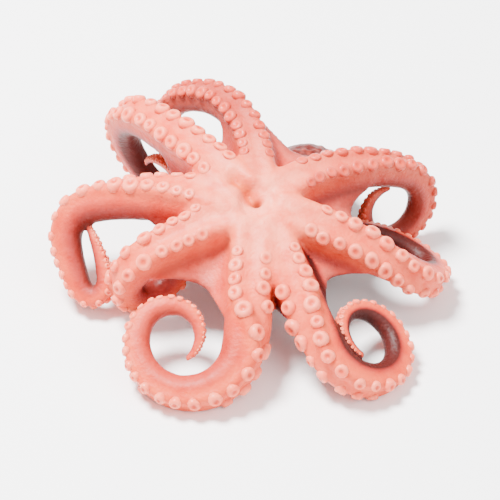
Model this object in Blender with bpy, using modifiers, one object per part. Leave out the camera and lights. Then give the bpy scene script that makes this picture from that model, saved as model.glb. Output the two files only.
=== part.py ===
# A small whole cooked octopus, lying on its mantle with the crown of eight arms spread
# open above it and the arm tips curled under. One piece of flesh: one closed solid.
#
# Everything is sized in millimetres and scaled to metres once, by MM.
# The crown is a flat disc round the mouth, tipped towards -Y. Each arm leaves it on a
# heading measured round the crown, and then follows its own run of stretches:
#   (length, bend, roll, sway)
# over each length the arm bends away from its sucker side, rolls about its own line and
# sways to the left, by those angles in degrees.

import math

import bmesh
import bpy
import numpy as np
from mathutils import Matrix, Quaternion, Vector

MM = 0.001

# Crown
MOUTH = Vector((2.0, -2.4, 34.0))    # where the mouth lies above the resting plane
CROWN_TILT = 17.0                   # tip of the crown towards -Y, degrees
ROOT_RING = 5.0                     # arms start this far from the mouth's axis
ROOT_DEPTH = 6.0                    # and their centre lines this far below the crown
LIPS = dict(drop=3.6, size=(3.0, 5.6, 5.6))     # the soft disc round the mouth, thickness first
MOUTH_PIT = dict(drop=0.2, radius=1.5, roundness=3)     # the pit the beak sat in

# Arms
TIP_RADIUS = 0.7
TAPER = 0.75                        # below 1 the arm stays thick and then runs out
STEP = 1.0                          # spacing of the stations along an arm
EASE = 7.0                          # bends fade into each other over this length
ARMS = {
    "front_left": dict(heading=-95, root=7.7, run=[
        (22, 8, 0, 0), (14, 6, -85, 0), (48, 190, 0, 0), (32, 220, 0, 0)]),
    "front_right": dict(heading=-66, root=7.4, run=[
        (22, 5, 10, 0), (20, 6, 55, 0), (40, 205, 0, 0), (28, 200, 0, 20)]),
    "right": dict(heading=-18, root=7.6, run=[
        (26, 20, 5, 0), (15, 10, 45, 0), (28, 168, 0, 0), (22, 60, 0, 0)]),
    "back_right": dict(heading=42, root=6.8, run=[
        (20, 10, -5, -22), (23, 26, -20, 0), (22, 122, 0, 0), (16, 110, 0, 0), (14, 120, 0, 20)]),
    "back": dict(heading=86, root=6.1, run=[
        (28, 10, 0, 30), (22, 32, 0, 35), (28, 100, 0, 0), (20, 100, 0, 0), (16, 140, 0, 20)]),
    "back_left": dict(heading=130, root=7.4, run=[
        (40, 17, 0, 5), (14, 47, 0, 0), (28, 110, 0, 0), (20, 120, 0, 0), (16, 150, 0, 30)]),
    "left": dict(heading=168, root=7.6, run=[
        (27, 12, 40, 0), (16, 14, 22, 0), (14, 92, 0, 0), (14, 10, 0, 0), (9, 165, 0, 0),
        (18, 20, 0, 0)]),
    "left_under": dict(heading=201, root=7.2, run=[
        (24, 8, 0, 5), (12, 50, 0, 0), (19, 122, 0, 0), (17, 130, 0, 0), (14, 110, 0, 30)]),
}

# Each arm's section: a round core and two raised rows that carry the suckers,
# as shares of the arm's radius.
CORE = dict(size=0.92, drop=0.06)
ROW = dict(size=0.42, lift=0.56, spread=0.46)

# Web between neighbouring arms
WEB_REACH = 35.0                    # how far it runs out along the arms
WEB_NOTCH = 0.34                    # how much its free edge is hollowed between them
WEB_SAG = 4.0                       # how far it hangs between them
WEB_INSET = 0.55                    # where it leaves the arm, as a share of the arm's radius
WEB_THICK = 2.6
WEB_ROWS = 12
WEB_COLUMNS = 9

# Head and mantle, below and behind the crown
HEAD = dict(drop=17.0, size=(12.0, 12.0, 12.0))
MANTLE_HEADING = 65.0               # the mantle points this way, lying on its side
MANTLE = dict(reach=27.0, height=12.0, size=(21.0, 15.0, 13.0), taper=-0.06)
EYE = dict(radius=4.6, spread=10.0, lift=2.0)
SIPHON = dict(length=12.0, root=3.4, mouth=2.2, rings=6)
NECK = dict(share=0.45, lift=5.0)           # where the siphon leaves, from head to mantle
SIPHON_WAY = dict(across=0.8, away=0.25, up=0.45)

# Solid
TUBE_ROUNDNESS = 3
BALL_SEGMENTS = 32
BALL_RINGS = 20
WELD = 0.001                        # points closer than this are one
VOXEL = 0.8                         # grain of the fused skin
FLATTEN = 0.5                       # flesh pressed flat where it lies on the table
SMOOTHING = 6                       # passes that round the fused skin
SMOOTHING_FACTOR = 0.5
TRIANGLES = 9400
TABLE_SPAN = 300.0                  # the block that cuts the flat resting spots
TABLE_DEPTH = 20.0

FLESH = (0.80, 0.42, 0.34)
FLESH_ROUGHNESS = 0.4


# ---------------------------------------------------------------- directions

def crown_axes():
    tilt = math.radians(CROWN_TILT)
    right = Vector((1, 0, 0))
    back = Vector((0, math.cos(tilt), math.sin(tilt)))
    up = Vector((0, -math.sin(tilt), math.cos(tilt)))
    return right, back, up


def turned(vector, axis, angle):
    return Quaternion(axis, angle) @ vector


# ---------------------------------------------------------------- arm lines

def eased_rates(run, stations, step):
    """Turning per millimetre at each station, with each change spread over EASE."""
    ends = np.cumsum([stretch[0] for stretch in run])
    places = (np.arange(stations) + 0.5) * step
    which = np.minimum(np.searchsorted(ends, places, side="right"), len(run) - 1)
    rates = np.array([[angle / stretch[0] for angle in stretch[1:]] for stretch in run])[which]
    width = max(1, round(EASE / step))
    padded = np.pad(rates, ((width, width), (0, 0)), mode="edge")
    window = np.ones(width) / width
    eased = [np.convolve(padded[:, k], window, mode="same")[width:-width] for k in range(3)]
    return np.radians(np.stack(eased, axis=1))


def arm_stations(arm):
    """Points down the arm's middle, with the way it runs and the way its suckers face."""
    right, back, up = crown_axes()
    heading = math.radians(arm["heading"])
    along = right * math.cos(heading) + back * math.sin(heading)
    oral = up.copy()
    point = MOUTH - up * ROOT_DEPTH + along * ROOT_RING
    length = sum(stretch[0] for stretch in arm["run"])
    count = round(length / STEP)
    step = length / count
    stations = [(point.copy(), along.copy(), oral.copy(), arm["root"])]
    for number, (bend, roll, sway) in enumerate(eased_rates(arm["run"], count, step) * step):
        along, oral = (along * math.cos(bend) - oral * math.sin(bend),
                       oral * math.cos(bend) + along * math.sin(bend))
        oral = turned(oral, along, roll)
        along = turned(along, oral, sway)
        oral = (oral - along * oral.dot(along)).normalized()
        point = point + along * step
        left = 1 - (number + 1) / count
        radius = TIP_RADIUS + (arm["root"] - TIP_RADIUS) * left ** TAPER
        stations.append((point.copy(), along.copy(), oral.copy(), radius))
    return stations


# ---------------------------------------------------------------- pieces of flesh

def tube(name, points, radii, collection):
    """A round tube through the points, as a closed mesh."""
    curve = bpy.data.curves.new(name, "CURVE")
    curve.dimensions = "3D"
    curve.bevel_depth = MM
    curve.bevel_resolution = TUBE_ROUNDNESS
    curve.use_fill_caps = True
    spline = curve.splines.new("POLY")
    spline.points.add(len(points) - 1)
    for spot, point, radius in zip(spline.points, points, radii):
        spot.co = (*(point * MM), 1)
        spot.radius = radius
    drawn = bpy.data.objects.new(name, curve)
    collection.objects.link(drawn)
    bpy.context.view_layer.update()
    evaluated = drawn.evaluated_get(bpy.context.evaluated_depsgraph_get())
    mesh = bpy.data.meshes.new_from_object(evaluated)
    bm = bmesh.new()
    bm.from_mesh(mesh)
    bmesh.ops.remove_doubles(bm, verts=bm.verts, dist=WELD * MM)
    bmesh.ops.recalc_face_normals(bm, faces=bm.faces)
    bm.to_mesh(mesh)
    bm.free()
    solid = bpy.data.objects.new(name, mesh)
    solid.matrix_world = drawn.matrix_world
    bpy.data.objects.remove(drawn)
    collection.objects.link(solid)
    return solid


def arm_flesh(name, arm, collection):
    """The arm's core and the two raised rows of its sucker side."""
    stations = arm_stations(arm)
    core = [point - oral * CORE["drop"] * radius for point, along, oral, radius in stations]
    pieces = [tube(name, core, [CORE["size"] * s[3] for s in stations], collection)]
    for side, label in ((-1, "left_row"), (1, "right_row")):
        row = [point + oral * ROW["lift"] * radius + along.cross(oral) * side * ROW["spread"] * radius
               for point, along, oral, radius in stations]
        sizes = [ROW["size"] * s[3] for s in stations]
        pieces.append(tube(f"{name}_{label}", row, sizes, collection))
    return pieces


def web(name, arm, neighbour, collection):
    """The sheet of skin from an arm to the next one anticlockwise, hollowed at its edge."""
    near = arm_stations(arm)
    far = arm_stations(neighbour)
    up = crown_axes()[2]
    bm = bmesh.new()
    grid = []
    for row in range(WEB_ROWS):
        down = row / (WEB_ROWS - 1)
        line = []
        for column in range(WEB_COLUMNS):
            across = column / (WEB_COLUMNS - 1)
            hollow = 4 * across * (1 - across)
            reach = WEB_REACH * (1 - WEB_NOTCH * hollow) * down
            place = int(reach / STEP)
            from_point, from_along, from_oral, from_radius = near[place]
            to_point, to_along, to_oral, to_radius = far[place]
            start = from_point - from_along.cross(from_oral) * from_radius * WEB_INSET
            end = to_point + to_along.cross(to_oral) * to_radius * WEB_INSET
            sag = WEB_SAG * hollow * down
            line.append(bm.verts.new((start.lerp(end, across) - up * sag) * MM))
        grid.append(line)
    for upper, lower in zip(grid, grid[1:]):
        for k in range(WEB_COLUMNS - 1):
            bm.faces.new((upper[k], lower[k], lower[k + 1], upper[k + 1]))
    bmesh.ops.recalc_face_normals(bm, faces=bm.faces)
    mesh = bpy.data.meshes.new(name)
    bm.to_mesh(mesh)
    bm.free()
    sheet = bpy.data.objects.new(name, mesh)
    collection.objects.link(sheet)
    wall = sheet.modifiers.new("wall", "SOLIDIFY")
    wall.thickness = WEB_THICK * MM
    wall.offset = 0
    return sheet


def ball(name, centre, size, facing, collection, taper=0.0):
    """An egg: its first size lies along `facing`, and it narrows towards there by `taper`."""
    bm = bmesh.new()
    bmesh.ops.create_uvsphere(bm, u_segments=BALL_SEGMENTS, v_segments=BALL_RINGS, radius=1)
    for vert in bm.verts:
        narrow = 1 - taper * vert.co.x
        vert.co.y *= narrow
        vert.co.z *= narrow
    turn = Vector((1, 0, 0)).rotation_difference(facing).to_matrix().to_4x4()
    bmesh.ops.transform(bm, verts=bm.verts, matrix=(
        Matrix.Translation(centre * MM) @ turn @ Matrix.Diagonal((*(Vector(size) * MM), 1))))
    mesh = bpy.data.meshes.new(name)
    bm.to_mesh(mesh)
    bm.free()
    egg = bpy.data.objects.new(name, mesh)
    collection.objects.link(egg)
    return egg


def lips(collection):
    up = crown_axes()[2]
    return ball("lips", MOUTH - up * LIPS["drop"], LIPS["size"], up, collection)


def head_and_mantle(collection):
    up = crown_axes()[2]
    heading = math.radians(MANTLE_HEADING)
    away = Vector((math.cos(heading), math.sin(heading), 0))
    across = Vector((-away.y, away.x, 0))
    head = MOUTH - up * HEAD["drop"]
    mantle = Vector((MOUTH.x, MOUTH.y, 0)) + away * MANTLE["reach"] + Vector((0, 0, MANTLE["height"]))
    pieces = [
        ball("head", head, HEAD["size"], away, collection),
        ball("mantle", mantle, MANTLE["size"], away, collection, MANTLE["taper"]),
    ]
    for side, label in ((-1, "right_eye"), (1, "left_eye")):
        spot = head + across * side * EYE["spread"] + Vector((0, 0, EYE["lift"]))
        pieces.append(ball(label, spot, (EYE["radius"],) * 3, away, collection))
    neck = head.lerp(mantle, NECK["share"]) + Vector((0, 0, NECK["lift"]))
    outlet = (across * SIPHON_WAY["across"] + away * SIPHON_WAY["away"]
              + Vector((0, 0, SIPHON_WAY["up"]))).normalized()
    shares = [k / SIPHON["rings"] for k in range(SIPHON["rings"] + 1)]
    pieces.append(tube("siphon", [neck + outlet * SIPHON["length"] * k for k in shares],
                       [SIPHON["root"] + (SIPHON["mouth"] - SIPHON["root"]) * k for k in shares],
                       collection))
    return pieces


# ---------------------------------------------------------------- the solid

def joined(name, pieces):
    """One mesh holding all the pieces, which still overlap."""
    bpy.ops.object.select_all(action="DESELECT")
    for piece in pieces:
        piece.select_set(True)
    bpy.context.view_layer.objects.active = pieces[0]
    bpy.ops.object.convert(target="MESH")
    bpy.ops.object.join()
    pieces[0].name = name
    return pieces[0]


def applied(obj, kind, **values):
    modifier = obj.modifiers.new(kind.lower(), kind)
    for key, value in values.items():
        setattr(modifier, key, value)
    bpy.context.view_layer.objects.active = obj
    bpy.ops.object.modifier_apply(modifier=modifier.name)


def cutter(name, mesh_maker, collection):
    bm = bmesh.new()
    mesh_maker(bm)
    mesh = bpy.data.meshes.new(name)
    bm.to_mesh(mesh)
    bm.free()
    tool = bpy.data.objects.new(name, mesh)
    collection.objects.link(tool)
    tool.hide_render = True
    tool.display_type = "WIRE"
    return tool


def flesh_material():
    material = bpy.data.materials.new("cooked_flesh")
    material.use_nodes = True
    shader = material.node_tree.nodes["Principled BSDF"]
    shader.inputs["Base Color"].default_value = (*FLESH, 1)
    shader.inputs["Roughness"].default_value = FLESH_ROUGHNESS
    shader.inputs["Metallic"].default_value = 0.0
    return material


def build():
    for obj in list(bpy.data.objects):
        bpy.data.objects.remove(obj)
    parts = bpy.data.collections.new("octopus")
    tools = bpy.data.collections.new("cutters")
    for collection in (parts, tools):
        bpy.context.scene.collection.children.link(collection)

    pieces = []
    for name, arm in ARMS.items():
        pieces += arm_flesh(name, arm, parts)
    names = list(ARMS)
    for name, following in zip(names, names[1:] + names[:1]):
        pieces.append(web(f"web_{name}", ARMS[name], ARMS[following], parts))
    octopus = joined("octopus", pieces + [lips(parts)] + head_and_mantle(parts))

    pit_place = Matrix.Translation((MOUTH - crown_axes()[2] * MOUTH_PIT["drop"]) * MM)
    pit = cutter("mouth_pit", lambda bm: bmesh.ops.create_icosphere(
        bm, subdivisions=MOUTH_PIT["roundness"], radius=MOUTH_PIT["radius"] * MM,
        matrix=pit_place), tools)
    table = cutter("table", lambda bm: bmesh.ops.create_cube(
        bm, size=1, matrix=Matrix.Translation((0, 0, (FLATTEN - TABLE_DEPTH / 2) * MM))
        @ Matrix.Diagonal((TABLE_SPAN * MM, TABLE_SPAN * MM, TABLE_DEPTH * MM, 1))), tools)

    applied(octopus, "REMESH", mode="VOXEL", voxel_size=VOXEL * MM, adaptivity=0)
    applied(octopus, "BOOLEAN", operation="DIFFERENCE", solver="EXACT", object=pit)
    applied(octopus, "SMOOTH", factor=SMOOTHING_FACTOR, iterations=SMOOTHING)
    share = TRIANGLES / sum(len(face.vertices) - 2 for face in octopus.data.polygons)
    applied(octopus, "DECIMATE", decimate_type="COLLAPSE", ratio=share, use_collapse_triangulate=True)
    applied(octopus, "BOOLEAN", operation="DIFFERENCE", solver="EXACT", object=table)
    octopus.data.transform(Matrix.Translation((0, 0, -FLATTEN * MM)))
    octopus.data.materials.clear()
    octopus.data.materials.append(flesh_material())
    octopus.data.shade_smooth()


build()
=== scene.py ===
# A small cooked octopus lying on its mantle, its crown of arms spread open towards the viewer.
# The imported solid is loaded and hidden; the skin, suckers and wet finish are made here.

import math
import random

import bmesh
import bpy
import numpy as np
from mathutils import Matrix, Quaternion, Vector, noise
from mathutils.bvhtree import BVHTree


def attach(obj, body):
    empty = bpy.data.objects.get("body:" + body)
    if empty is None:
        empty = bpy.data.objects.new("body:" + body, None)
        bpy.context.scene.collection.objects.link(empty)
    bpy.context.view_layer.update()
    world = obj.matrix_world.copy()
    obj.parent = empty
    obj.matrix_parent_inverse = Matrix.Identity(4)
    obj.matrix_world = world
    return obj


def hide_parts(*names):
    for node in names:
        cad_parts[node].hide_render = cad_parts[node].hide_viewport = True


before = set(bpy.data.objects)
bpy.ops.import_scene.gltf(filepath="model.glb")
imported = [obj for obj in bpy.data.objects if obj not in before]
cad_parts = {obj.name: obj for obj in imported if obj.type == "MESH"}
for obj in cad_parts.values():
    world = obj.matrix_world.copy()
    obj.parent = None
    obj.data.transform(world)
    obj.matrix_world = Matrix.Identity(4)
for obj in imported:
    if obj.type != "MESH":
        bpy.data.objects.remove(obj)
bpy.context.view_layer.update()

mm = 0.001
bodyName = "root"
nodeName = "octopus"

crown = {
    "mouth": Vector((2.0, -2.4, 34.0)),   # millimetres, above the plane it lies on
    "tilt": 17.0,                         # tip towards the viewer, degrees
    "rootRing": 5.0,
    "rootDepth": 6.0,
    "pressed": 0.5,                       # flesh pressed flat underneath
}

arms = {
    "taper": 0.75,
    "tipRadius": 0.7,
    "step": 0.5,
    "ease": 7.0,
    # heading round the crown, root radius, then stretches of (length, bend, roll, sway)
    "front_left": (-95, 7.7, [(22, 8, 0, 0), (14, 6, -85, 0), (48, 190, 0, 0), (32, 220, 0, 0)]),
    "front_right": (-66, 7.4, [(22, 5, 10, 0), (20, 6, 55, 0), (40, 205, 0, 0), (28, 200, 0, 20)]),
    "right": (-18, 7.6, [(26, 20, 5, 0), (15, 10, 45, 0), (28, 168, 0, 0), (22, 60, 0, 0)]),
    "back_right": (42, 6.8, [(20, 10, -5, -22), (23, 26, -20, 0), (22, 122, 0, 0),
                             (16, 110, 0, 0), (14, 120, 0, 20)]),
    "back": (86, 6.1, [(28, 10, 0, 30), (22, 32, 0, 35), (28, 100, 0, 0), (20, 100, 0, 0),
                       (16, 140, 0, 20)]),
    "back_left": (130, 7.4, [(40, 17, 0, 5), (14, 47, 0, 0), (28, 110, 0, 0), (20, 120, 0, 0),
                             (16, 150, 0, 30)]),
    "left": (168, 7.6, [(27, 12, 40, 0), (16, 14, 22, 0), (14, 92, 0, 0), (14, 10, 0, 0),
                        (9, 165, 0, 0), (18, 20, 0, 0)]),
    "left_under": (201, 7.2, [(24, 8, 0, 5), (12, 50, 0, 0), (19, 122, 0, 0), (17, 130, 0, 0),
                              (14, 110, 0, 30)]),
}
armNames = [key for key in arms if isinstance(arms[key], tuple)]


def crownAxes():
    tilt = math.radians(crown["tilt"])
    return (Vector((1, 0, 0)), Vector((0, math.cos(tilt), math.sin(tilt))),
            Vector((0, -math.sin(tilt), math.cos(tilt))))


def easedTurns(run, count, step):
    ends = np.cumsum([stretch[0] for stretch in run])
    places = (np.arange(count) + 0.5) * step
    which = np.minimum(np.searchsorted(ends, places, side="right"), len(run) - 1)
    rates = np.array([[angle / stretch[0] for angle in stretch[1:]] for stretch in run])[which]
    width = max(1, round(arms["ease"] / step))
    padded = np.pad(rates, ((width, width), (0, 0)), mode="edge")
    window = np.ones(width) / width
    eased = [np.convolve(padded[:, k], window, mode="same")[width:-width] for k in range(3)]
    return np.radians(np.stack(eased, axis=1)) * step


def armStations(name):
    # centre, direction, sucker side, radius and share of the length down one arm, in millimetres
    heading, root, run = arms[name]
    right, back, up = crownAxes()
    heading = math.radians(heading)
    along = right * math.cos(heading) + back * math.sin(heading)
    oral = up.copy()
    point = crown["mouth"] - up * crown["rootDepth"] + along * crown["rootRing"]
    count = round(sum(stretch[0] for stretch in run) / arms["step"])
    step = sum(stretch[0] for stretch in run) / count
    stations = [(point.copy(), along.copy(), oral.copy(), root, 0.0)]
    for number, (bend, roll, sway) in enumerate(easedTurns(run, count, step)):
        along, oral = (along * math.cos(bend) - oral * math.sin(bend),
                       oral * math.cos(bend) + along * math.sin(bend))
        oral = Quaternion(along, roll) @ oral
        along = Quaternion(oral, sway) @ along
        oral = (oral - along * oral.dot(along)).normalized()
        point = point + along * step
        share = (number + 1) / count
        radius = arms["tipRadius"] + (root - arms["tipRadius"]) * (1 - share) ** arms["taper"]
        stations.append((point.copy(), along.copy(), oral.copy(), radius, share))
    return stations


armLines = {name: armStations(name) for name in armNames}
print("arms worked out:", len(armLines))


def deselectAll():
    bpy.ops.object.select_all(action="DESELECT")


def makeActive(piece):
    deselectAll()
    piece.select_set(True)
    bpy.context.view_layer.objects.active = piece


def applyModifier(piece, kind, **values):
    makeActive(piece)
    modifier = piece.modifiers.new(kind.lower(), kind)
    for key, value in values.items():
        setattr(modifier, key, value)
    bpy.ops.object.modifier_apply(modifier=modifier.name)


def joinPieces(pieces, name):
    deselectAll()
    for piece in pieces:
        piece.select_set(True)
    bpy.context.view_layer.objects.active = pieces[0]
    bpy.ops.object.join()
    pieces[0].name = name
    return pieces[0]


def settle(piece):
    # puts a piece's place into its mesh
    makeActive(piece)
    bpy.ops.object.transform_apply(location=True, rotation=True, scale=True)


def fleshTube(name, points, radii):
    curve = bpy.data.curves.new(name, "CURVE")
    curve.dimensions = "3D"
    curve.bevel_depth = mm
    curve.bevel_resolution = 6
    curve.use_fill_caps = True
    spline = curve.splines.new("POLY")
    spline.points.add(len(points) - 1)
    for spot, point, radius in zip(spline.points, points, radii):
        spot.co = (*(point * mm), 1)
        spot.radius = radius
    piece = bpy.data.objects.new(name, curve)
    bpy.context.scene.collection.objects.link(piece)
    makeActive(piece)
    bpy.ops.object.convert(target="MESH")
    piece = bpy.context.view_layer.objects.active
    bpy.ops.object.mode_set(mode="EDIT")
    bpy.ops.mesh.select_all(action="SELECT")
    bpy.ops.mesh.remove_doubles(threshold=1e-6)
    bpy.ops.mesh.normals_make_consistent(inside=False)
    bpy.ops.object.mode_set(mode="OBJECT")
    return piece


def fleshBall(name, centre, size, facing, taper=0.0):
    bpy.ops.mesh.primitive_uv_sphere_add(segments=48, ring_count=32, radius=1)
    piece = bpy.context.object
    piece.name = name
    for vertex in piece.data.vertices:
        narrow = 1 - taper * vertex.co.x
        vertex.co.y *= narrow
        vertex.co.z *= narrow
    piece.rotation_mode = "QUATERNION"
    piece.rotation_quaternion = Vector((1, 0, 0)).rotation_difference(facing)
    piece.scale = Vector(size) * mm
    piece.location = centre * mm
    settle(piece)
    return piece


skinForm = {
    "core": 0.92, "coreDrop": 0.06,
    "row": 0.40, "rowLift": 0.56, "rowSpread": 0.46,
    "webReach": 35.0, "webNotch": 0.34, "webSag": 4.0, "webThick": 2.2,
    "webInset": 0.55, "webColumns": 14, "webRows": 23,
    "voxel": 0.64, "smoothing": 5,
    "wrinkle": 0.25, "wrinkleSize": 0.0035,
    "smoothFactor": 0.5, "softReach": 32.0, "softPasses": 26, "softGain": 2.0,
}
body = {
    "headDrop": 17.0, "headSize": (12.0, 12.0, 12.0),
    "mantleHeading": 65.0, "mantleReach": 27.0, "mantleHeight": 12.0,
    "mantleSize": (21.0, 15.0, 13.0), "mantleTaper": -0.06,
    "eyeRadius": 4.6, "eyeSpread": 10.0, "eyeLift": 2.0,
    "siphonLength": 12.0, "siphonRoot": 3.4, "siphonMouth": 2.2, "neckShare": 0.45, "neckLift": 5.0,
    "creaseSize": 3.4, "creaseDepth": 0.55, "patchSize": 1.6, "patchShare": 0.55,
    "openingRadius": 1.1, "openingDepth": 3.0, "openingLength": 3.0, "openingOut": 0.5,
    "eyeSlit": 2.2, "eyeSlitHeight": 0.7, "eyeSlitReach": 3.0, "mantleEdge": 1.25, "mantleFade": 0.15,
    "siphonRings": 12, "siphonAcross": 0.8, "siphonAway": 0.25, "siphonUp": 0.45,
    "neckRaise": 9.0, "neckFade": 4.0, "bodyCover": 0.92,
    "lipDrop": 4.6, "lipSize": (3.6, 8.5, 8.5),
}


def armPieces(name):
    line = armLines[name]
    core = fleshTube(name, [p - o * skinForm["coreDrop"] * r for p, t, o, r, u in line],
                     [skinForm["core"] * r for p, t, o, r, u in line])
    pieces = [core]
    for side in (-1, 1):
        row = [p + o * skinForm["rowLift"] * r + t.cross(o) * side * skinForm["rowSpread"] * r
               for p, t, o, r, u in line]
        pieces.append(fleshTube(f"{name}Row", row, [skinForm["row"] * r for p, t, o, r, u in line]))
    return pieces


def webPiece(name, neighbour):
    # the sheet of skin between two arms, hollowed at its free edge and hanging a little
    near, far, up = armLines[name], armLines[neighbour], crownAxes()[2]
    bpy.ops.mesh.primitive_grid_add(x_subdivisions=skinForm["webColumns"],
                                    y_subdivisions=skinForm["webRows"], size=1)
    sheet = bpy.context.object
    for vertex in sheet.data.vertices:
        across = vertex.co.x + 0.5
        down = vertex.co.y + 0.5
        hollow = 4 * across * (1 - across)
        reach = skinForm["webReach"] * (1 - skinForm["webNotch"] * hollow) * down
        p, t, o, r, u = near[int(reach / arms["step"])]
        start = p - t.cross(o) * r * skinForm["webInset"]
        p, t, o, r, u = far[int(reach / arms["step"])]
        end = p + t.cross(o) * r * skinForm["webInset"]
        vertex.co = (start.lerp(end, across) - up * skinForm["webSag"] * hollow * down) * mm
    applyModifier(sheet, "SOLIDIFY", thickness=skinForm["webThick"] * mm, offset=0)
    return sheet


def bodyPlaces():
    up = crownAxes()[2]
    heading = math.radians(body["mantleHeading"])
    away = Vector((math.cos(heading), math.sin(heading), 0))
    across = Vector((-away.y, away.x, 0))
    mouth = crown["mouth"]
    head = mouth - up * body["headDrop"]
    mantle = Vector((mouth.x, mouth.y, body["mantleHeight"])) + away * body["mantleReach"]
    return head, mantle, away, across


def siphonLine():
    # where the siphon leaves the neck, and the way it points
    head, mantle, away, across = bodyPlaces()
    neck = head.lerp(mantle, body["neckShare"]) + Vector((0, 0, body["neckLift"]))
    outlet = (across * body["siphonAcross"] + away * body["siphonAway"]
              + Vector((0, 0, body["siphonUp"])))
    return neck, outlet.normalized()


def bodyPieces():
    up, mouth = crownAxes()[2], crown["mouth"]
    head, mantle, away, across = bodyPlaces()
    pieces = [fleshBall("head", head, body["headSize"], away),
              fleshBall("mantle", mantle, body["mantleSize"], away, body["mantleTaper"]),
              fleshBall("lips", mouth - up * body["lipDrop"], body["lipSize"], up)]
    for side in (-1, 1):
        spot = head + across * side * body["eyeSpread"] + Vector((0, 0, body["eyeLift"]))
        pieces.append(fleshBall("eyeBulge", spot, (body["eyeRadius"],) * 3, away))
    neck, outlet = siphonLine()
    shares = [k / body["siphonRings"] for k in range(body["siphonRings"] + 1)]
    pieces.append(fleshTube("siphon", [neck + outlet * body["siphonLength"] * k for k in shares],
                            [body["siphonRoot"] + (body["siphonMouth"] - body["siphonRoot"]) * k
                             for k in shares]))
    return pieces


def reliefTexture(name, size):
    texture = bpy.data.textures.new(name, "CLOUDS")
    texture.noise_scale = size
    texture.noise_depth = 2
    return texture


mouthForm = {
    "foldHeading": 131.0, "foldLength": 13.0, "foldWidth": 1.9, "foldDepth": 2.1,
    "foldWave": 0.35, "foldWaveRate": 0.9, "foldStart": 2.5, "foldStartShare": 0.6, "foldFade": 4.0,
    "foldTint": 1.1, "pitRadius": 1.0, "pitDepth": 2.4, "skinDepth": 7.0, "skinFade": 3.0,
}


def mouthFields(spots):
    # how deep the fold and the pit are at each point, both from 0 to 1
    right, back, up = (np.array(axis) for axis in crownAxes())
    gaps = spots - np.array(crown["mouth"])
    across, forth, above = gaps @ right, gaps @ back, gaps @ up
    heading = math.radians(mouthForm["foldHeading"])
    run = across * math.cos(heading) + forth * math.sin(heading)
    aside = -across * math.sin(heading) + forth * math.cos(heading)
    tooDeep = np.maximum(-above - mouthForm["skinDepth"], 0)
    near = np.exp(-(tooDeep / mouthForm["skinFade"]) ** 2)
    ends = (np.clip(run / mouthForm["foldStart"] + mouthForm["foldStartShare"], 0, 1)
            * np.clip((mouthForm["foldLength"] - run) / mouthForm["foldFade"], 0, 1))
    wavy = aside - mouthForm["foldWave"] * np.sin(run * mouthForm["foldWaveRate"])
    fold = np.exp(-(wavy / mouthForm["foldWidth"]) ** 2) * ends * near
    reach = np.sqrt(across ** 2 + forth ** 2)
    pit = np.exp(-(reach / mouthForm["pitRadius"]) ** 2) * near
    return fold, pit


def openingField(spots):
    # how deep the siphon's end is pressed in
    neck, outlet = siphonLine()
    end = neck + outlet * (body["siphonLength"] + body["siphonMouth"] * body["openingOut"])
    gaps = spots - np.array(end)
    depth = gaps @ np.array(outlet)
    aside = np.linalg.norm(gaps - depth[:, None] * np.array(outlet), axis=1)
    return np.exp(-(aside / body["openingRadius"]) ** 2) * np.exp(-(depth / body["openingLength"]) ** 2)


def noiseField(spots, mask, size):
    # soft noise at each point where the mask is above zero
    field = np.zeros(len(spots))
    for index in np.flatnonzero(mask > 0):
        field[index] = noise.noise(Vector(spots[index]) / size)
    return field


def mantleField(spots):
    # 1 on the mantle's skin, falling to 0 a little way off it
    head, mantle, away, across = bodyPlaces()
    gaps = spots - np.array(mantle)
    length, width, height = body["mantleSize"]
    far = np.sqrt((gaps @ np.array(away) / length) ** 2 + (gaps @ np.array(across) / width) ** 2
                  + (gaps[:, 2] / height) ** 2)
    return np.clip((body["mantleEdge"] - far) / body["mantleFade"], 0, 1)


def eyeField(spots):
    # a dark slit across each eye bulge
    head, mantle, away, across = bodyPlaces()
    slit = np.zeros(len(spots))
    for side in (-1, 1):
        out = body["eyeSpread"] + body["eyeRadius"]
        centre = head + across * side * out + Vector((0, 0, body["eyeLift"]))
        gaps = spots - np.array(centre)
        wide = np.exp(-(gaps @ np.array(away) / body["eyeSlit"]) ** 2)
        slit += (wide * np.exp(-(gaps[:, 2] / body["eyeSlitHeight"]) ** 2)
                 * np.exp(-(gaps @ np.array(across) / body["eyeSlitReach"]) ** 2))
    return slit


def sculptSkin(skin):
    # presses in the mouth's fold and pit and the siphon's opening, and creases the mantle
    mesh = skin.data
    count = len(mesh.vertices)
    spots = np.empty(count * 3)
    mesh.vertices.foreach_get("co", spots)
    spots = spots.reshape(-1, 3) / mm
    fold, pit = mouthFields(spots)
    up = np.array(crownAxes()[2])
    sunk = fold * mouthForm["foldDepth"] + pit * mouthForm["pitDepth"]
    spots -= sunk[:, None] * up
    neck, outlet = siphonLine()
    opening = openingField(spots)
    spots -= (opening * body["openingDepth"])[:, None] * np.array(outlet)
    normals = np.empty(count * 3)
    mesh.vertices.foreach_get("normal", normals)
    onMantle = mantleField(spots)
    creases = 0.5 - np.abs(noiseField(spots, onMantle, body["creaseSize"])) * 2
    spots += (creases * onMantle * body["creaseDepth"])[:, None] * normals.reshape(-1, 3)
    mesh.vertices.foreach_set("co", (spots * mm).ravel())
    mesh.update()


def softenCrown(skin):
    # the arms' ridges fade out towards the mouth, so the skin is relaxed there
    group = skin.vertex_groups.new(name="crown")
    mouth = crown["mouth"] * mm
    for vertex in skin.data.vertices:
        near = 1 - (vertex.co - mouth).length / (skinForm["softReach"] * mm)
        if near > 0:
            group.add([vertex.index], min(1.0, near * skinForm["softGain"]), "REPLACE")
    applyModifier(skin, "SMOOTH", factor=skinForm["smoothFactor"], iterations=skinForm["softPasses"],
                  vertex_group="crown")
    skin.vertex_groups.clear()


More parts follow.
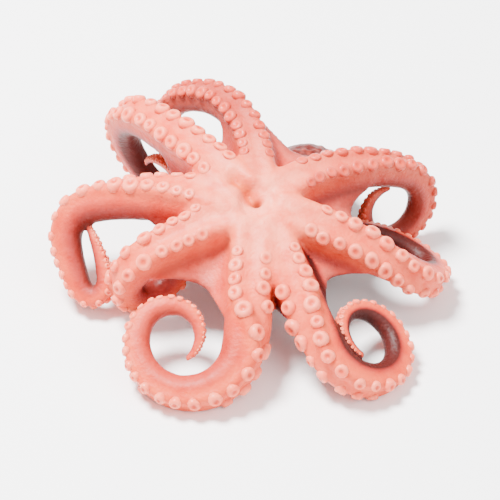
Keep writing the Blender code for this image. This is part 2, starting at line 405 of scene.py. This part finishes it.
def makeSkin():
    deselectAll()
    pieces = []
    for name in armNames:
        pieces += armPieces(name)
    for name, neighbour in zip(armNames, armNames[1:] + armNames[:1]):
        pieces.append(webPiece(name, neighbour))
    skin = joinPieces(pieces + bodyPieces(), "octopusSkin")
    applyModifier(skin, "REMESH", mode="VOXEL", voxel_size=skinForm["voxel"] * mm)
    applyModifier(skin, "SMOOTH", factor=skinForm["smoothFactor"], iterations=skinForm["smoothing"])
    softenCrown(skin)
    applyModifier(skin, "DISPLACE", texture=reliefTexture("wrinkles", skinForm["wrinkleSize"]),
                  strength=skinForm["wrinkle"] * mm, mid_level=0.5, texture_coords="LOCAL")
    sculptSkin(skin)
    print("skin faces:", len(skin.data.polygons))
    return skin


skin = makeSkin()


# how far each arm's back stays pale; below zero its dark skin reaches further round
armPale = {"front_left": 0.80, "left": 0.45, "left_under": 0.55, "front_right": -0.45, "right": -0.40,
           "back": -0.15, "back_right": -0.15, "back_left": 0.0}
# painted shade on each arm past its root, deepest on the back arms
armPaintedShade = {"back": 0.9, "back_right": 0.55, "back_left": 0.2, "left": 0.25, "others": 0.1}


paintForm = {
    "paintedShadeRate": 4.0, "backFrom": 0.1, "webFrom": 1.15, "webFade": 0.5, "webBase": 0.35,
    "webLift": 0.3, "webTintAndShade": 0.55, "blushAt": 0.80, "blushWidth": 0.25, "blushRise": 3.0,
    "blushTint": 0.55, "crownFrom": 1.15, "crownReach": 24.0, "crownRise": 2.0, "chunk": 4000,
}


def paintSkin(skin):
    # stores where each bit of skin lies: sucker side or back, web, crown, mouth or body, and how much
    # painted shade it takes
    mesh = skin.data
    count = len(mesh.vertices)
    spots = np.empty(count * 3)
    mesh.vertices.foreach_get("co", spots)
    spots = spots.reshape(-1, 3) / mm
    normals = np.empty(count * 3)
    mesh.vertices.foreach_get("normal", normals)
    normals = normals.reshape(-1, 3)
    points, orals, sides, radii, paintedShades, pales = ([] for k in range(6))
    for name in armNames:
        for p, t, o, r, u in armLines[name][::2]:
            pales.append(armPale[name])
            # painted shade: each listed arm is darkened, more so past its root
            paintedShades.append(armPaintedShade.get(name, armPaintedShade["others"]) * min(1.0, u * paintForm["paintedShadeRate"]))
            points.append(p)
            orals.append(o)
            sides.append(t.cross(o))
            radii.append(r)
    points, orals, sides = np.array(points), np.array(orals), np.array(sides)
    radii = np.array(radii)
    paintedShades, pales = np.array(paintedShades), np.array(pales)
    oral, lateral, reach, paintedShade, pale = (np.empty(count) for k in range(5))
    for start in range(0, count, paintForm["chunk"]):
        part = slice(start, min(start + paintForm["chunk"], count))
        gaps = spots[part, None, :] - points[None]
        far = np.linalg.norm(gaps, axis=2) / radii[None]
        best = far.argmin(axis=1)
        gap = gaps[np.arange(len(best)), best]
        oral[part] = (gap * orals[best]).sum(axis=1) / radii[best]
        lateral[part] = (gap * sides[best]).sum(axis=1) / radii[best]
        paintedShade[part] = paintedShades[best]
        pale[part] = pales[best]
        reach[part] = far[np.arange(len(best)), best]
    fold, pit = mouthFields(spots)
    # the pit colour goes here: painted shade in the mouth pit and siphon opening, and the eyes' own
    # dark slits
    pit = np.clip(pit + openingField(spots) + eyeField(spots), 0, 1)
    up = np.array(crownAxes()[2])
    backFrom = paintForm["backFrom"]
    oral = np.where(oral < backFrom, oral * (1 - pale) + backFrom * pale, oral)
    onWeb = np.clip((reach - paintForm["webFrom"]) / paintForm["webFade"], 0, 1)
    facing = normals @ up
    onTop = paintForm["webBase"] + paintForm["webLift"] * facing
    oral = oral * (1 - onWeb) + np.where(facing > 0, onTop, facing) * onWeb
    blush = (np.exp(-((np.abs(lateral) - paintForm["blushAt"]) / paintForm["blushWidth"]) ** 2)
             * np.clip(oral * paintForm["blushRise"], 0, 1) * (1 - onWeb) * paintForm["blushTint"])
    below = (spots - np.array(crown["mouth"])) @ up
    inBody = np.clip((-below - body["neckRaise"]) / body["neckFade"], 0, 1) * onWeb
    patches = noiseField(spots, inBody, body["patchSize"])
    cover = body["bodyCover"] - body["patchShare"] * np.maximum(patches, 0)
    inBody = np.clip(inBody * cover, 0, 1)
    fromMouth = np.linalg.norm(spots - np.array(crown["mouth"]), axis=1)
    inCrown = (np.clip(paintForm["crownFrom"] - fromMouth / paintForm["crownReach"], 0, 1)
               * np.clip(oral * paintForm["crownRise"], 0, 1))
    inMouth = np.clip(fold * mouthForm["foldTint"] + pit, 0, 1)
    # the web tint is partly the web's own lilac tone, partly painted shade between the arms
    fields = {"oral": oral, "body": inBody, "web": onWeb * paintForm["webTintAndShade"], "blush": blush,
              "crown": inCrown, "mouth": inMouth, "pit": pit, "paintedShade": paintedShade}
    for name, values in fields.items():
        attribute = mesh.attributes.new(name, "FLOAT", "POINT")
        attribute.data.foreach_set("value", values.astype(np.float32))
    print("skin painted:", count, "points")


paintSkin(skin)


suckerForm = {
    "sides": 12, "sizeShare": 0.66, "rootShare": 0.50, "growOver": 30.0, "rootHeight": 0.12,
    "pitch": 1.22, "spreadAngle": 35.0, "firstAt": 11.0, "smallest": 0.5, "clearance": 0.46,
    "lowest": 1.0, "seed": 7, "sizeSpread": 0.10, "tiltSpread": 4.0, "endGap": 1.0,
    "rayFrom": 2.2, "rayLength": 2.6, "lean": 0.35, "squash": 0.08, "heightSpread": 0.15,
    "padRadius": 0.58, "padDepth": 0.30, "padDrop": -0.20, "topAt": 0.02,
    # the last number is the amount of painted shade above which an arm's suckers are painted darker
    "cupRadius": 0.12, "cupFade": 0.20, "wallShade": 0.8, "paintedShadeFrom": 0.5,
    # each step lifts the middle face and narrows it: flank, shoulder, rim, slope, cup
    "steps": ((0.14, 0.92), (0.11, 0.86), (0.04, 0.76), (-0.03, 0.62), (-0.07, 0.58)),
}


def makeSucker():
    # one sucker of unit width: a soft rounded pad with a small cup
    deselectAll()
    bpy.ops.mesh.primitive_cylinder_add(vertices=suckerForm["sides"], radius=suckerForm["padRadius"],
                                        depth=suckerForm["padDepth"],
                                        location=(0, 0, suckerForm["padDrop"]))
    piece = bpy.context.object
    piece.name = "sucker"
    settle(piece)
    bpy.ops.object.mode_set(mode="EDIT")
    bm = bmesh.from_edit_mesh(piece.data)
    for face in bm.faces:
        face.select = face.normal.z > 0.9
    bmesh.update_edit_mesh(piece.data)
    for lift, grow in suckerForm["steps"]:
        bpy.ops.mesh.extrude_region_move(TRANSFORM_OT_translate={"value": (0, 0, lift)})
        bpy.ops.transform.resize(value=(grow, grow, 1), center_override=(0, 0, 0))
    bpy.ops.object.mode_set(mode="OBJECT")
    shade = piece.data.attributes.new("rim", "FLOAT", "POINT")
    for number, vertex in enumerate(piece.data.vertices):
        width = math.hypot(vertex.co.x, vertex.co.y)
        rise = min(1.0, max(0.0, (width - suckerForm["cupRadius"]) / suckerForm["cupFade"]))
        onTop = vertex.co.z > suckerForm["topAt"]
        shade.data[number].value = rise if onTop else suckerForm["wallShade"]
    return piece


def near(middle, spread):
    return random.uniform(middle - spread, middle + spread)


def suckerSpots(name, surface, taken):
    # alternating left and right down the arm, each standing on the skin
    line = armLines[name]
    length = (len(line) - 1) * arms["step"]
    angle = math.radians(suckerForm["spreadAngle"])
    spots = []
    place, side = suckerForm["firstAt"], 1
    while place < length - suckerForm["endGap"]:
        p, t, o, r, u = line[min(int(place / arms["step"]), len(line) - 1)]
        growth = min(1.0, place / suckerForm["growOver"])
        share = suckerForm["rootShare"] + (1 - suckerForm["rootShare"]) * growth
        width = suckerForm["sizeShare"] * r * share * near(1, suckerForm["sizeSpread"])
        if width < suckerForm["smallest"]:
            break
        tilt = angle + math.radians(near(0, suckerForm["tiltSpread"]))
        way = o * math.cos(tilt) + t.cross(o) * side * math.sin(tilt)
        start = (p + way * r * suckerForm["rayFrom"]) * mm
        hit, normal, face, distance = surface.ray_cast(start, -way, suckerForm["rayLength"] * r * mm)
        place += width * suckerForm["pitch"] / 2
        side = -side
        if hit is None:
            continue
        hitMm = hit / mm
        crowded = any((hitMm - other).length < suckerForm["clearance"] * (width + wide)
                      for other, wide in taken)
        buried = hitMm.z - crown["pressed"] < suckerForm["lowest"] and normal.z < 0
        if crowded or buried:
            continue
        taken.append((hitMm, width))
        height = suckerForm["rootHeight"] + (1 - suckerForm["rootHeight"]) * growth
        facing = normal * (1 - suckerForm["lean"]) + way * suckerForm["lean"]
        spots.append((hit, facing.normalized(), width, height))
    return spots


def placeSuckers(pattern, surface):
    rows, taken = [], []
    random.seed(suckerForm["seed"])
    for name in armNames:
        copies = []
        for spot, facing, width, height in suckerSpots(name, surface, taken):
            copy = pattern.copy()
            copy.data = pattern.data.copy()
            bpy.context.scene.collection.objects.link(copy)
            turn = Vector((0, 0, 1)).rotation_difference(facing).to_matrix().to_4x4()
            spin = Matrix.Rotation(random.uniform(0, 6.28), 4, "Z")
            squash = Matrix.Diagonal((near(1, suckerForm["squash"]), near(1, suckerForm["squash"]),
                                      height * near(1, suckerForm["heightSpread"]), 1))
            size = Matrix.Scale(width * mm, 4)
            copy.data.transform(Matrix.Translation(spot) @ turn @ spin @ squash @ size)
            copies.append(copy)
        rows.append(joinPieces(copies, f"suckers_{name}"))
        print("suckers on", name, len(copies))
    bpy.data.objects.remove(pattern)
    return rows


surface = BVHTree.FromPolygons([vertex.co.copy() for vertex in skin.data.vertices],
                               [tuple(face.vertices) for face in skin.data.polygons])
suckerRows = placeSuckers(makeSucker(), surface)


def layDown(pieces):
    # lowers everything by the pressed depth and flattens what would sink
    for piece in pieces:
        for vertex in piece.data.vertices:
            vertex.co.z = max(vertex.co.z - crown["pressed"] * mm, 0.0)


layDown([skin] + suckerRows)


def linear(red, green, blue):
    # a screen colour, each channel 0 to 255, as the shaders take it
    values = [channel / 255 for channel in (red, green, blue)]
    return (*[v / 12.92 if v <= 0.04045 else ((v + 0.055) / 1.055) ** 2.4 for v in values], 1)


# as they lie on the flesh, before light and the glow under the skin, except the painted shade marked
# below
skinColours = {
    "crown": linear(240, 134, 106),
    "pale": linear(230, 98, 66),
    "peach": linear(206, 70, 44),
    "rose": linear(150, 38, 32),
    "maroon": linear(38, 5, 6),
    # painted shade laid on the shaded arms
    "paintedShade": linear(166, 66, 54),
    "mantle": linear(66, 18, 17),
    # partly the web's own lilac tone, partly painted shade between the arms
    "lilacAndShade": linear(178, 78, 74),
    "blush": linear(216, 78, 34),
    "mottle": linear(236, 176, 158),
    "sucker": linear(244, 124, 96),
    "suckerPit": linear(208, 74, 48),
    # painted shade on the suckers of the shaded arms
    "paintedShadeSucker": linear(200, 84, 66),
    "mouth": linear(206, 84, 40),
    # painted shade in the mouth pit and the siphon opening; on the eye bulges the eyes' own dark slit
    "pit": linear(84, 22, 14),
}


def newGroup(name, inputs, outputs):
    group = bpy.data.node_groups.new(name, "ShaderNodeTree")
    for label, kind, value in inputs:
        socket = group.interface.new_socket(label, in_out="INPUT", socket_type=kind)
        if value is not None:
            socket.default_value = value
    for label, kind in outputs:
        group.interface.new_socket(label, in_out="OUTPUT", socket_type=kind)
    entry = group.nodes.new("NodeGroupInput")
    leave = group.nodes.new("NodeGroupOutput")
    return group, entry, leave


moistForm = {
    "mottleScale": 260, "mottleDetail": 4, "mottleFrom": 0.42, "mottleTo": 0.68,
    "grainScale": 1100, "grainDetail": 5, "roughSpread": 0.22, "reliefDepth": 0.0006,
}


def moistSkinGroup():
    # mottling, roughness and fine relief of wet cooked skin, in object space
    group, entry, leave = newGroup("moistSkin", [
        ("Colour", "NodeSocketColor", (1, 1, 1, 1)), ("Dark", "NodeSocketColor", (1, 1, 1, 1)),
        ("Mottle", "NodeSocketFloat", 0.3), ("Roughness", "NodeSocketFloat", 0.35),
        ("Relief", "NodeSocketFloat", 0.4)],
        [("Colour", "NodeSocketColor"), ("Roughness", "NodeSocketFloat"),
         ("Normal", "NodeSocketVector")])
    nodes, links = group.nodes, group.links
    place = nodes.new("ShaderNodeTexCoord")
    coarse = nodes.new("ShaderNodeTexNoise")
    coarse.inputs["Scale"].default_value = moistForm["mottleScale"]
    coarse.inputs["Detail"].default_value = moistForm["mottleDetail"]
    fine = nodes.new("ShaderNodeTexNoise")
    fine.inputs["Scale"].default_value = moistForm["grainScale"]
    fine.inputs["Detail"].default_value = moistForm["grainDetail"]
    for noise in (coarse, fine):
        links.new(place.outputs["Object"], noise.inputs["Vector"])
    patch = nodes.new("ShaderNodeMapRange")
    patch.inputs["From Min"].default_value = moistForm["mottleFrom"]
    patch.inputs["From Max"].default_value = moistForm["mottleTo"]
    links.new(coarse.outputs["Fac"], patch.inputs["Value"])
    amount = nodes.new("ShaderNodeMath")
    amount.operation = "MULTIPLY"
    links.new(patch.outputs["Result"], amount.inputs[0])
    links.new(entry.outputs["Mottle"], amount.inputs[1])
    mix = nodes.new("ShaderNodeMix")
    mix.data_type = "RGBA"
    mix.blend_type = "MULTIPLY"
    links.new(amount.outputs["Value"], mix.inputs["Factor"])
    links.new(entry.outputs["Colour"], mix.inputs["A"])
    links.new(entry.outputs["Dark"], mix.inputs["B"])
    links.new(mix.outputs["Result"], leave.inputs["Colour"])
    rough = nodes.new("ShaderNodeMath")
    rough.operation = "MULTIPLY_ADD"
    rough.inputs[1].default_value = moistForm["roughSpread"]
    links.new(fine.outputs["Fac"], rough.inputs[0])
    links.new(entry.outputs["Roughness"], rough.inputs[2])
    links.new(rough.outputs["Value"], leave.inputs["Roughness"])
    bump = nodes.new("ShaderNodeBump")
    bump.inputs["Distance"].default_value = moistForm["reliefDepth"]
    links.new(entry.outputs["Relief"], bump.inputs["Strength"])
    links.new(fine.outputs["Fac"], bump.inputs["Height"])
    links.new(bump.outputs["Normal"], leave.inputs["Normal"])
    return group


moistSkin = moistSkinGroup()


fleshFinish = {
    "subsurface": 0.30, "glowRadius": (1.0, 0.40, 0.28), "glowDepth": 0.0025,
    "coat": 0.03, "coatRoughness": 0.25, "specular": 0.16,
    "skin": {"Mottle": 0.75, "Roughness": 0.36, "Relief": 0.45},
    "sucker": {"Mottle": 0.6, "Roughness": 0.2, "Relief": 0.2},
    # from the arm's back, 0, to its sucker side, 1
    "across": ((0.06, "maroon"), (0.27, "maroon"), (0.40, "rose"), (0.58, "peach"), (0.82, "pale")),
}


def fleshShader(material):
    material.use_nodes = True
    shader = material.node_tree.nodes["Principled BSDF"]
    shader.inputs["Subsurface Weight"].default_value = fleshFinish["subsurface"]
    shader.inputs["Subsurface Radius"].default_value = fleshFinish["glowRadius"]
    shader.inputs["Subsurface Scale"].default_value = fleshFinish["glowDepth"]
    shader.inputs["Coat Weight"].default_value = fleshFinish["coat"]
    shader.inputs["Coat Roughness"].default_value = fleshFinish["coatRoughness"]
    shader.inputs["Specular IOR Level"].default_value = fleshFinish["specular"]
    return shader


def skinMaterial():
    material = bpy.data.materials.new("wetSkin")
    shader = fleshShader(material)
    nodes, links = material.node_tree.nodes, material.node_tree.links
    oral = nodes.new("ShaderNodeAttribute")
    oral.attribute_name = "oral"
    ramp = nodes.new("ShaderNodeValToRGB")
    shift = nodes.new("ShaderNodeMapRange")
    shift.inputs["From Min"].default_value = -1.0
    shift.inputs["From Max"].default_value = 1.0
    links.new(oral.outputs["Fac"], shift.inputs["Value"])
    links.new(shift.outputs["Result"], ramp.inputs["Fac"])
    stops = ramp.color_ramp.elements
    spread = fleshFinish["across"]
    for stop, (position, colour) in zip((stops[0], stops[1]), (spread[0], spread[-1])):
        stop.position, stop.color = position, skinColours[colour]
    for position, colour in spread[1:-1]:
        stops.new(position).color = skinColours[colour]
    away = nodes.new("ShaderNodeAttribute")
    away.attribute_name = "crown"
    middle = nodes.new("ShaderNodeMix")
    middle.data_type = "RGBA"
    middle.blend_type = "LIGHTEN"
    middle.inputs["B"].default_value = skinColours["crown"]
    links.new(away.outputs["Fac"], middle.inputs["Factor"])
    links.new(ramp.outputs["Color"], middle.inputs["A"])
    tone = middle.outputs["Result"]
    # among these tints, the arms' darkening and the pit are painted shade, and the web tint is partly
    # painted shade
    tints = {"blush": "blush", "web": "lilacAndShade", "paintedShade": "paintedShade", "body": "mantle",
             "mouth": "mouth", "pit": "pit"}
    for field, colour in tints.items():
        mask = nodes.new("ShaderNodeAttribute")
        mask.attribute_name = field
        blend = nodes.new("ShaderNodeMix")
        blend.data_type = "RGBA"
        blend.inputs["B"].default_value = skinColours[colour]
        links.new(mask.outputs["Fac"], blend.inputs["Factor"])
        links.new(tone, blend.inputs["A"])
        tone = blend.outputs["Result"]
    wet = nodes.new("ShaderNodeGroup")
    wet.node_tree = moistSkin
    wet.inputs["Dark"].default_value = skinColours["mottle"]
    for label, value in fleshFinish["skin"].items():
        wet.inputs[label].default_value = value
    links.new(tone, wet.inputs["Colour"])
    links.new(wet.outputs["Colour"], shader.inputs["Base Color"])
    links.new(wet.outputs["Roughness"], shader.inputs["Roughness"])
    links.new(wet.outputs["Normal"], shader.inputs["Normal"])
    return material


def suckerMaterial(name, tone):
    material = bpy.data.materials.new(name)
    shader = fleshShader(material)
    nodes, links = material.node_tree.nodes, material.node_tree.links
    rim = nodes.new("ShaderNodeAttribute")
    rim.attribute_name = "rim"
    mix = nodes.new("ShaderNodeMix")
    mix.data_type = "RGBA"
    mix.inputs["A"].default_value = skinColours["suckerPit"]
    mix.inputs["B"].default_value = skinColours[tone]
    links.new(rim.outputs["Fac"], mix.inputs["Factor"])
    wet = nodes.new("ShaderNodeGroup")
    wet.node_tree = moistSkin
    wet.inputs["Dark"].default_value = skinColours["mottle"]
    for label, value in fleshFinish["sucker"].items():
        wet.inputs[label].default_value = value
    links.new(mix.outputs["Result"], wet.inputs["Colour"])
    links.new(wet.outputs["Colour"], shader.inputs["Base Color"])
    links.new(wet.outputs["Roughness"], shader.inputs["Roughness"])
    links.new(wet.outputs["Normal"], shader.inputs["Normal"])
    return material


skin.data.materials.clear()
skin.data.materials.append(skinMaterial())
suckerFinishes = {"sucker": suckerMaterial("suckerSkin", "sucker"),
                  "paintedShadeSucker": suckerMaterial("paintedShadeSuckerSkin", "paintedShadeSucker")}
# suckers on arms with much painted shade take the darker painted-shade finish
for name, row in zip(armNames, suckerRows):
    row.data.materials.clear()
    inPaintedShade = armPaintedShade.get(name, armPaintedShade["others"]) > suckerForm["paintedShadeFrom"]
    row.data.materials.append(suckerFinishes["paintedShadeSucker" if inPaintedShade else "sucker"])
    row.data.shade_smooth()
skin.data.shade_smooth()
print("materials made")

for piece in [skin] + suckerRows:
    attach(piece, bodyName)
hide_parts(nodeName)

stage = {
    "floorSize": 3.0, "floorDrop": -0.00005, "floorTone": (0.97, 0.97, 0.97, 1), "floorRoughness": 0.7,
    "worldTone": (1.0, 1.0, 1.0, 1), "worldStrength": 0.95,
    "keyPlace": (-0.30, 0.12, 0.8), "keySize": 0.30, "keyWatts": 40.0,
    "fillPlace": (0.5, -0.5, 0.7), "fillSize": 0.8, "fillWatts": 9.0,
}
view = {"elevation": 42.0, "distance": 0.9, "lens": 232.0, "aim": Vector((0.000, -0.001, 0.014))}


def makeFloor():
    deselectAll()
    bpy.ops.mesh.primitive_plane_add(size=stage["floorSize"], location=(0, 0, stage["floorDrop"]))
    floor = bpy.context.object
    floor.name = "floor"
    material = bpy.data.materials.new("paleFloor")
    material.use_nodes = True
    shader = material.node_tree.nodes["Principled BSDF"]
    shader.inputs["Base Color"].default_value = stage["floorTone"]
    shader.inputs["Roughness"].default_value = stage["floorRoughness"]
    floor.data.materials.append(material)


def areaLight(name, place, size, watts, tone=(1, 1, 1)):
    light = bpy.data.lights.new(name, "AREA")
    light.shape = "DISK"
    light.size = size
    light.energy = watts
    light.color = tone
    lamp = bpy.data.objects.new(name, light)
    lamp.location = place
    lamp.rotation_euler = (view["aim"] - Vector(place)).to_track_quat("-Z", "Y").to_euler()
    bpy.context.scene.collection.objects.link(lamp)


def makeCamera():
    camera = bpy.data.cameras.new("camera")
    camera.lens = view["lens"]
    camera.clip_start = 0.01
    viewer = bpy.data.objects.new("camera", camera)
    lift = math.radians(view["elevation"])
    viewer.location = view["aim"] + Vector((0, -math.cos(lift), math.sin(lift))) * view["distance"]
    viewer.rotation_euler = (view["aim"] - viewer.location).to_track_quat("-Z", "Y").to_euler()
    bpy.context.scene.collection.objects.link(viewer)
    bpy.context.scene.camera = viewer


makeFloor()
areaLight("keyLight", stage["keyPlace"], stage["keySize"], stage["keyWatts"])
areaLight("fillLight", stage["fillPlace"], stage["fillSize"], stage["fillWatts"])
makeCamera()
world = bpy.data.worlds.new("studio")
world.use_nodes = True
world.node_tree.nodes["Background"].inputs["Color"].default_value = stage["worldTone"]
world.node_tree.nodes["Background"].inputs["Strength"].default_value = stage["worldStrength"]
bpy.context.scene.world = world
bpy.context.view_layer.update()
